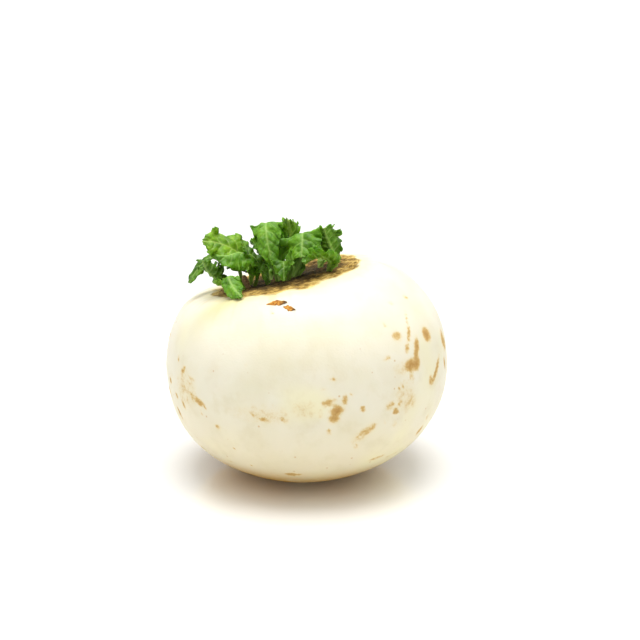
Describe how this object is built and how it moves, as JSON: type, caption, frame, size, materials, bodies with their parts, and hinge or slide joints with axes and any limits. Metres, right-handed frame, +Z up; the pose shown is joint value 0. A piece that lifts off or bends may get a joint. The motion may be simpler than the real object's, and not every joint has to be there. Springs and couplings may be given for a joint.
{
  "type": "white turnip with young leaves",
  "caption": "Broad flattened white turnip root with a dished brown crown that has sprouted short crinkled green leaves, standing on a small flat spot.",
  "frame": {"origin": "middle of the small flat spot on the underside that the turnip stands on", "axes": "+Z up from the flat spot through the root; the leafy crown is off-centre toward -X, and -Y is the side with the two dry scales on the shoulder"},
  "size_m": [0.1201, 0.12, 0.1093],
  "materials": {
    "root_skin": "smooth waxy white skin with tan scuffs, fibrous brown crown",
    "young_leaf": "thin yellow-green leaf, slightly glossy",
    "full_leaf": "thin mid-green crinkled leaf with paler veins",
    "deep_leaf": "thin dark bluish-green curled leaf",
    "bud": "matt pinkish-brown bud scales",
    "dry_scale": "dry papery amber-brown scale"
  },
  "bodies": {
    "root": {"turnip_root": "root_skin", "left_top_leaf": "young_leaf", "left_drooping_leaf": "deep_leaf", "left_side_leaf": "full_leaf", "left_curled_leaf": "deep_leaf", "left_outer_leaf": "deep_leaf", "left_low_leaf": "full_leaf", "middle_side_leaf": "deep_leaf", "middle_back_leaf": "full_leaf", "middle_folded_leaf": "full_leaf", "middle_far_leaf": "deep_leaf", "middle_tip_leaf": "young_leaf", "middle_wavy_leaf": "full_leaf", "middle_low_leaf": "deep_leaf", "right_upper_leaf": "full_leaf", "right_lower_leaf": "full_leaf", "right_back_leaf": "young_leaf", "bud_stub": "bud", "dry_scale_large": "dry_scale", "dry_scale_small": "dry_scale"}
  },
  "joints": []
}
